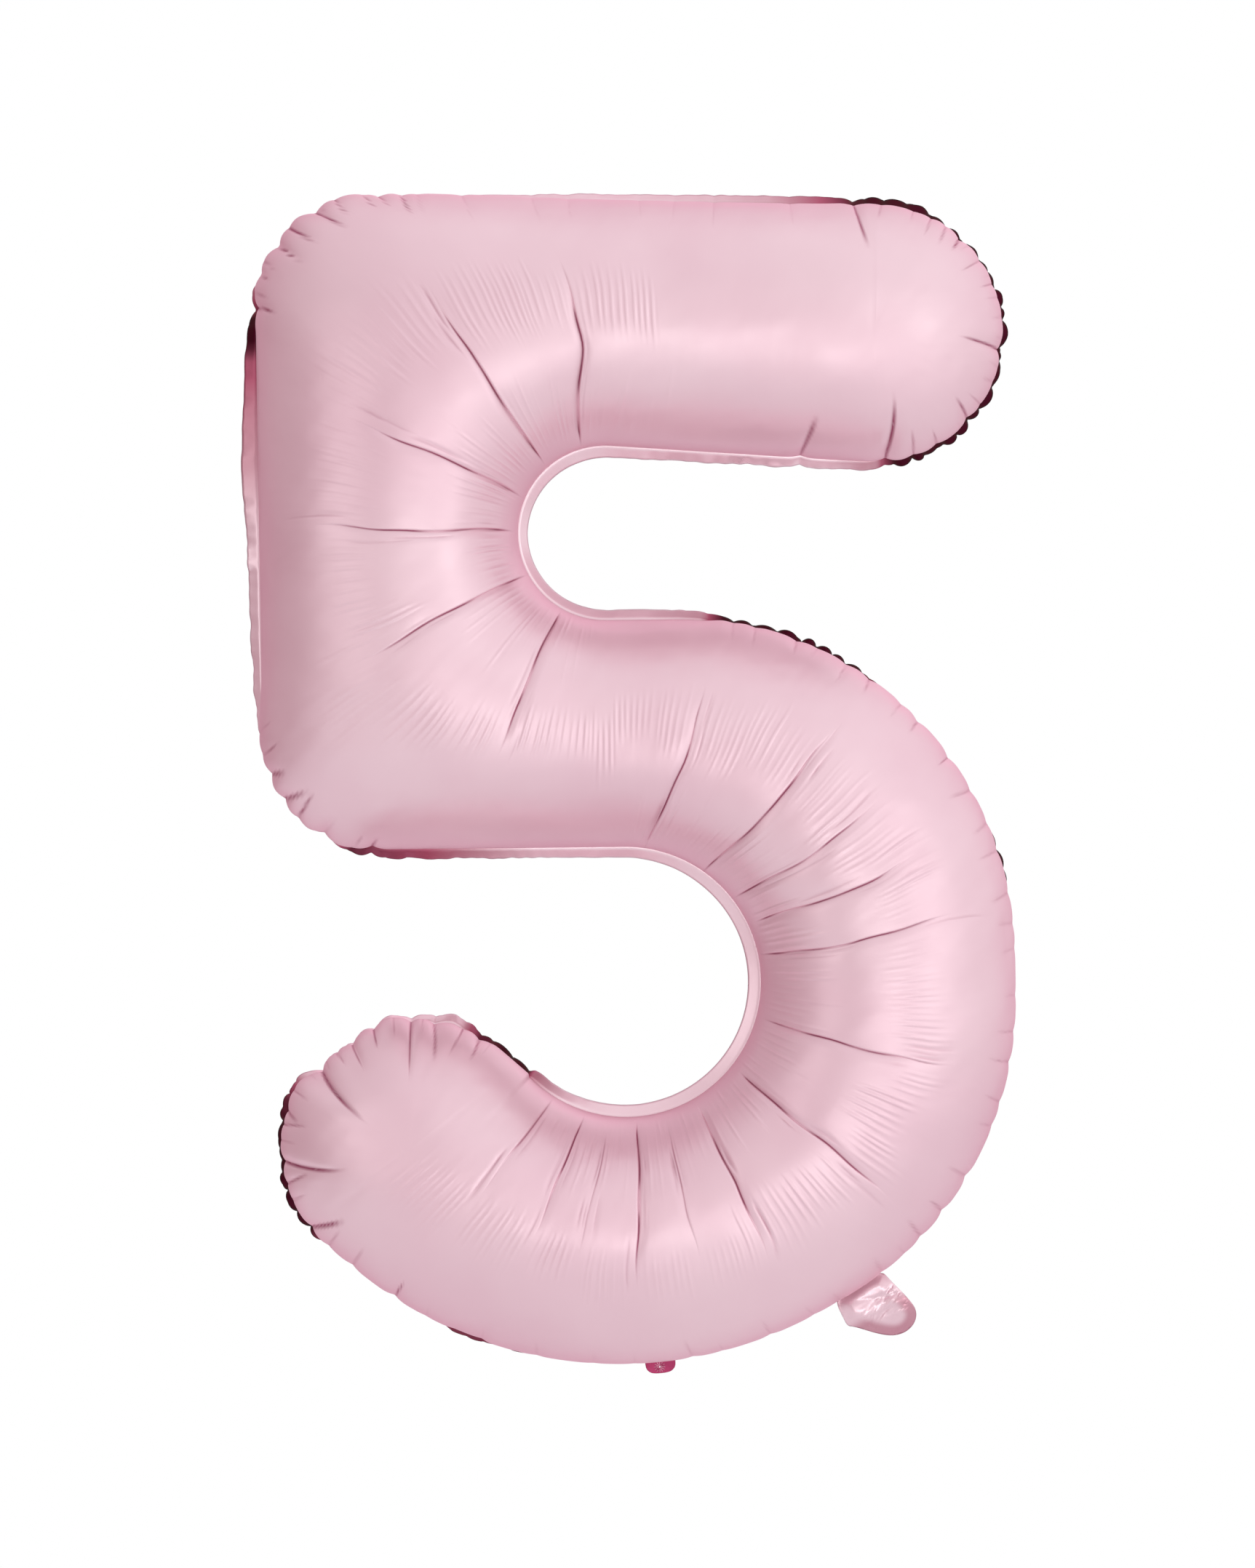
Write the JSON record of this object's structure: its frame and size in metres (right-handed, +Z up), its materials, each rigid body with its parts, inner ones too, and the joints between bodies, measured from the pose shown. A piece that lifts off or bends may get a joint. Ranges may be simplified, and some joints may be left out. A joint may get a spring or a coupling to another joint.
{
  "type": "foil number balloon",
  "caption": "Inflated foil balloon in the shape of the digit 5, with a welded margin, a filling tail with an inner valve and a ribbon tab.",
  "frame": {"origin": "centre of the hole in the ribbon tab, on the weld plane, under the bottom of the digit", "axes": "+Z up along the digit's height, +X to the right as the digit is read, the digit is read from -Y, and the weld lies in the plane Y = 0"},
  "size_m": [0.5676, 0.2174, 0.8731],
  "materials": {
    "pink_foil": "satin metallised film, pastel pink",
    "valve_film": "clear polyethylene film"
  },
  "bodies": {
    "envelope": {"front_panel": "pink_foil", "back_panel": "pink_foil"},
    "filling_tail": {"tail_front_ply": "pink_foil", "tail_back_ply": "pink_foil"},
    "valve_front": {"valve_front_film": "valve_film"},
    "valve_back": {"valve_back_film": "valve_film"},
    "tab": {"ribbon_tab": "pink_foil"}
  },
  "joints": [
    {"name": "tail_fold", "type": "hinge", "parent": "envelope", "child": "filling_tail", "pos_m": [0.14738, 0, 0.06045], "axis": [0.8339, 0, 0.5519], "range_deg": [-75, 75], "stiffness_Nm_per_rad": 0.002},
    {"name": "tab_fold", "type": "hinge", "parent": "envelope", "child": "tab", "pos_m": [-0.00055, 0, 0.00554], "axis": [0.9952, 0, 0.0979], "range_deg": [-80, 80], "stiffness_Nm_per_rad": 0.001},
    {"name": "valve_front_open", "type": "hinge", "parent": "envelope", "child": "valve_front", "pos_m": [0.14622, -0.0003, 0.0622], "axis": [0.8339, 0, 0.5519], "range_deg": [0, 4], "stiffness_Nm_per_rad": 0.003},
    {"name": "valve_back_open", "type": "hinge", "parent": "envelope", "child": "valve_back", "pos_m": [0.14622, 0.0003, 0.0622], "axis": [0.8339, 0, 0.5519], "range_deg": [-4, 0], "stiffness_Nm_per_rad": 0.003}
  ],
  "couplings": [
    {"joint": "valve_back_open", "follows": "valve_front_open", "ratio": -1}
  ]
}
